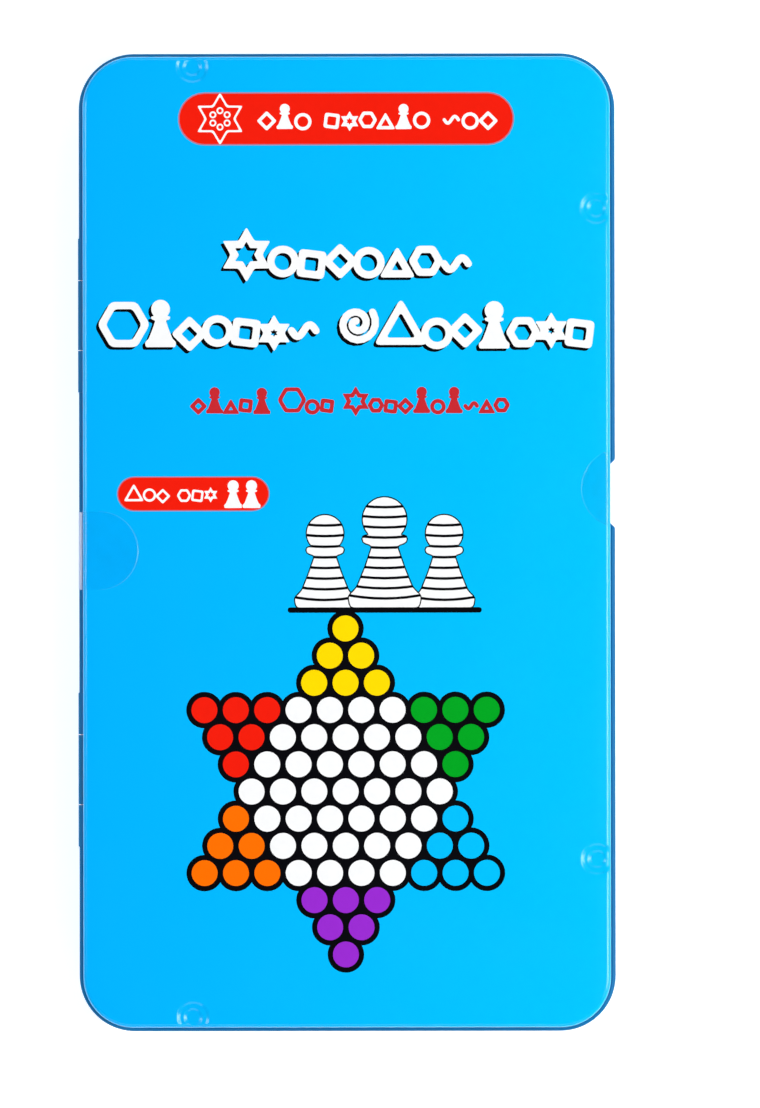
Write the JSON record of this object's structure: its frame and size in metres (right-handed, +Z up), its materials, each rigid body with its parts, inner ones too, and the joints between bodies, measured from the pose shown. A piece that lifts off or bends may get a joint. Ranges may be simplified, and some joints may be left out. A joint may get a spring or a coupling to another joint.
{
  "type": "tin travel board game",
  "caption": "Flat hinged tin case of a pocket board game, printed with a star of cells, holding a board, a tray and magnetic playing discs.",
  "frame": {"origin": "middle of the closed case's underside, on the surface it lies on", "axes": "+Z up through the lid's printed face, +Y along the case towards the printed title, +X from the hinge towards the opening edge"},
  "size_m": [0.0851, 0.155, 0.0151],
  "materials": {
    "printed_tin": "gloss lithographed tinplate, sky blue",
    "steel_wire": "drawn steel wire",
    "tray_plastic": "white vacuum-formed sheet",
    "printed_board": "printed steel sheet, satin varnish",
    "paper": "uncoated folded paper",
    "clear_film": "clear adhesive film",
    "magnet_yellow": "flexible magnet faced with glossy yellow vinyl",
    "magnet_red": "flexible magnet faced with glossy red vinyl",
    "magnet_green": "flexible magnet faced with glossy green vinyl",
    "magnet_orange": "flexible magnet faced with glossy orange vinyl",
    "magnet_blue": "flexible magnet faced with glossy blue vinyl",
    "magnet_purple": "flexible magnet faced with glossy purple vinyl"
  },
  "bodies": {
    "base": {"base_shell": "printed_tin", "insert_tray": "tray_plastic", "board_panel": "printed_board", "hinge_pin_upper": "steel_wire", "hinge_pin_lower": "steel_wire", "seal_spine_base": "clear_film", "seal_front_base": "clear_film"},
    "lid": {"lid_shell": "printed_tin", "seal_spine_lid": "clear_film", "seal_front_lid": "clear_film"},
    "leaflet": {"rules_leaflet": "paper"},
    "disc_yellow_1": {"disc_yellow_1": "magnet_yellow"},
    "disc_yellow_2": {"disc_yellow_2": "magnet_yellow"},
    "disc_yellow_3": {"disc_yellow_3": "magnet_yellow"},
    "disc_yellow_4": {"disc_yellow_4": "magnet_yellow"},
    "disc_yellow_5": {"disc_yellow_5": "magnet_yellow"},
    "disc_yellow_6": {"disc_yellow_6": "magnet_yellow"},
    "disc_red_1": {"disc_red_1": "magnet_red"},
    "disc_red_2": {"disc_red_2": "magnet_red"},
    "disc_red_3": {"disc_red_3": "magnet_red"},
    "disc_red_4": {"disc_red_4": "magnet_red"},
    "disc_red_5": {"disc_red_5": "magnet_red"},
    "disc_red_6": {"disc_red_6": "magnet_red"},
    "disc_green_1": {"disc_green_1": "magnet_green"},
    "disc_green_2": {"disc_green_2": "magnet_green"},
    "disc_green_3": {"disc_green_3": "magnet_green"},
    "disc_green_4": {"disc_green_4": "magnet_green"},
    "disc_green_5": {"disc_green_5": "magnet_green"},
    "disc_green_6": {"disc_green_6": "magnet_green"},
    "disc_orange_1": {"disc_orange_1": "magnet_orange"},
    "disc_orange_2": {"disc_orange_2": "magnet_orange"},
    "disc_orange_3": {"disc_orange_3": "magnet_orange"},
    "disc_orange_4": {"disc_orange_4": "magnet_orange"},
    "disc_orange_5": {"disc_orange_5": "magnet_orange"},
    "disc_orange_6": {"disc_orange_6": "magnet_orange"},
    "disc_blue_1": {"disc_blue_1": "magnet_blue"},
    "disc_blue_2": {"disc_blue_2": "magnet_blue"},
    "disc_blue_3": {"disc_blue_3": "magnet_blue"},
    "disc_blue_4": {"disc_blue_4": "magnet_blue"},
    "disc_blue_5": {"disc_blue_5": "magnet_blue"},
    "disc_blue_6": {"disc_blue_6": "magnet_blue"},
    "disc_purple_1": {"disc_purple_1": "magnet_purple"},
    "disc_purple_2": {"disc_purple_2": "magnet_purple"},
    "disc_purple_3": {"disc_purple_3": "magnet_purple"},
    "disc_purple_4": {"disc_purple_4": "magnet_purple"},
    "disc_purple_5": {"disc_purple_5": "magnet_purple"},
    "disc_purple_6": {"disc_purple_6": "magnet_purple"}
  },
  "joints": [
    {"name": "case_lid_hinge", "type": "hinge", "parent": "base", "child": "lid", "pos_m": [-0.0419, 0, 0.0075], "axis": [0, -1, 0], "range_deg": [0, 180]},
    {"name": "leaflet_lift", "type": "slide", "parent": "base", "child": "leaflet", "axis": [0, 0, 1], "range_m": [0, 0.0125]},
    {"name": "disc_yellow_1_lift", "type": "slide", "parent": "base", "child": "disc_yellow_1", "axis": [0, 0, 1], "range_m": [0, 0.0034]},
    {"name": "disc_yellow_2_lift", "type": "slide", "parent": "base", "child": "disc_yellow_2", "axis": [0, 0, 1], "range_m": [0, 0.0034]},
    {"name": "disc_yellow_3_lift", "type": "slide", "parent": "base", "child": "disc_yellow_3", "axis": [0, 0, 1], "range_m": [0, 0.0034]},
    {"name": "disc_yellow_4_lift", "type": "slide", "parent": "base", "child": "disc_yellow_4", "axis": [0, 0, 1], "range_m": [0, 0.0034]},
    {"name": "disc_yellow_5_lift", "type": "slide", "parent": "base", "child": "disc_yellow_5", "axis": [0, 0, 1], "range_m": [0, 0.0034]},
    {"name": "disc_yellow_6_lift", "type": "slide", "parent": "base", "child": "disc_yellow_6", "axis": [0, 0, 1], "range_m": [0, 0.0034]},
    {"name": "disc_red_1_lift", "type": "slide", "parent": "base", "child": "disc_red_1", "axis": [0, 0, 1], "range_m": [0, 0.0034]},
    {"name": "disc_red_2_lift", "type": "slide", "parent": "base", "child": "disc_red_2", "axis": [0, 0, 1], "range_m": [0, 0.0034]},
    {"name": "disc_red_3_lift", "type": "slide", "parent": "base", "child": "disc_red_3", "axis": [0, 0, 1], "range_m": [0, 0.0034]},
    {"name": "disc_red_4_lift", "type": "slide", "parent": "base", "child": "disc_red_4", "axis": [0, 0, 1], "range_m": [0, 0.0034]},
    {"name": "disc_red_5_lift", "type": "slide", "parent": "base", "child": "disc_red_5", "axis": [0, 0, 1], "range_m": [0, 0.0034]},
    {"name": "disc_red_6_lift", "type": "slide", "parent": "base", "child": "disc_red_6", "axis": [0, 0, 1], "range_m": [0, 0.0034]},
    {"name": "disc_green_1_lift", "type": "slide", "parent": "base", "child": "disc_green_1", "axis": [0, 0, 1], "range_m": [0, 0.0034]},
    {"name": "disc_green_2_lift", "type": "slide", "parent": "base", "child": "disc_green_2", "axis": [0, 0, 1], "range_m": [0, 0.0034]},
    {"name": "disc_green_3_lift", "type": "slide", "parent": "base", "child": "disc_green_3", "axis": [0, 0, 1], "range_m": [0, 0.0034]},
    {"name": "disc_green_4_lift", "type": "slide", "parent": "base", "child": "disc_green_4", "axis": [0, 0, 1], "range_m": [0, 0.0034]},
    {"name": "disc_green_5_lift", "type": "slide", "parent": "base", "child": "disc_green_5", "axis": [0, 0, 1], "range_m": [0, 0.0034]},
    {"name": "disc_green_6_lift", "type": "slide", "parent": "base", "child": "disc_green_6", "axis": [0, 0, 1], "range_m": [0, 0.0034]},
    {"name": "disc_orange_1_lift", "type": "slide", "parent": "base", "child": "disc_orange_1", "axis": [0, 0, 1], "range_m": [0, 0.0034]},
    {"name": "disc_orange_2_lift", "type": "slide", "parent": "base", "child": "disc_orange_2", "axis": [0, 0, 1], "range_m": [0, 0.0034]},
    {"name": "disc_orange_3_lift", "type": "slide", "parent": "base", "child": "disc_orange_3", "axis": [0, 0, 1], "range_m": [0, 0.0034]},
    {"name": "disc_orange_4_lift", "type": "slide", "parent": "base", "child": "disc_orange_4", "axis": [0, 0, 1], "range_m": [0, 0.0034]},
    {"name": "disc_orange_5_lift", "type": "slide", "parent": "base", "child": "disc_orange_5", "axis": [0, 0, 1], "range_m": [0, 0.0034]},
    {"name": "disc_orange_6_lift", "type": "slide", "parent": "base", "child": "disc_orange_6", "axis": [0, 0, 1], "range_m": [0, 0.0034]},
    {"name": "disc_blue_1_lift", "type": "slide", "parent": "base", "child": "disc_blue_1", "axis": [0, 0, 1], "range_m": [0, 0.0034]},
    {"name": "disc_blue_2_lift", "type": "slide", "parent": "base", "child": "disc_blue_2", "axis": [0, 0, 1], "range_m": [0, 0.0034]},
    {"name": "disc_blue_3_lift", "type": "slide", "parent": "base", "child": "disc_blue_3", "axis": [0, 0, 1], "range_m": [0, 0.0034]},
    {"name": "disc_blue_4_lift", "type": "slide", "parent": "base", "child": "disc_blue_4", "axis": [0, 0, 1], "range_m": [0, 0.0034]},
    {"name": "disc_blue_5_lift", "type": "slide", "parent": "base", "child": "disc_blue_5", "axis": [0, 0, 1], "range_m": [0, 0.0034]},
    {"name": "disc_blue_6_lift", "type": "slide", "parent": "base", "child": "disc_blue_6", "axis": [0, 0, 1], "range_m": [0, 0.0034]},
    {"name": "disc_purple_1_lift", "type": "slide", "parent": "base", "child": "disc_purple_1", "axis": [0, 0, 1], "range_m": [0, 0.0034]},
    {"name": "disc_purple_2_lift", "type": "slide", "parent": "base", "child": "disc_purple_2", "axis": [0, 0, 1], "range_m": [0, 0.0034]},
    {"name": "disc_purple_3_lift", "type": "slide", "parent": "base", "child": "disc_purple_3", "axis": [0, 0, 1], "range_m": [0, 0.0034]},
    {"name": "disc_purple_4_lift", "type": "slide", "parent": "base", "child": "disc_purple_4", "axis": [0, 0, 1], "range_m": [0, 0.0034]},
    {"name": "disc_purple_5_lift", "type": "slide", "parent": "base", "child": "disc_purple_5", "axis": [0, 0, 1], "range_m": [0, 0.0034]},
    {"name": "disc_purple_6_lift", "type": "slide", "parent": "base", "child": "disc_purple_6", "axis": [0, 0, 1], "range_m": [0, 0.0034]}
  ]
}
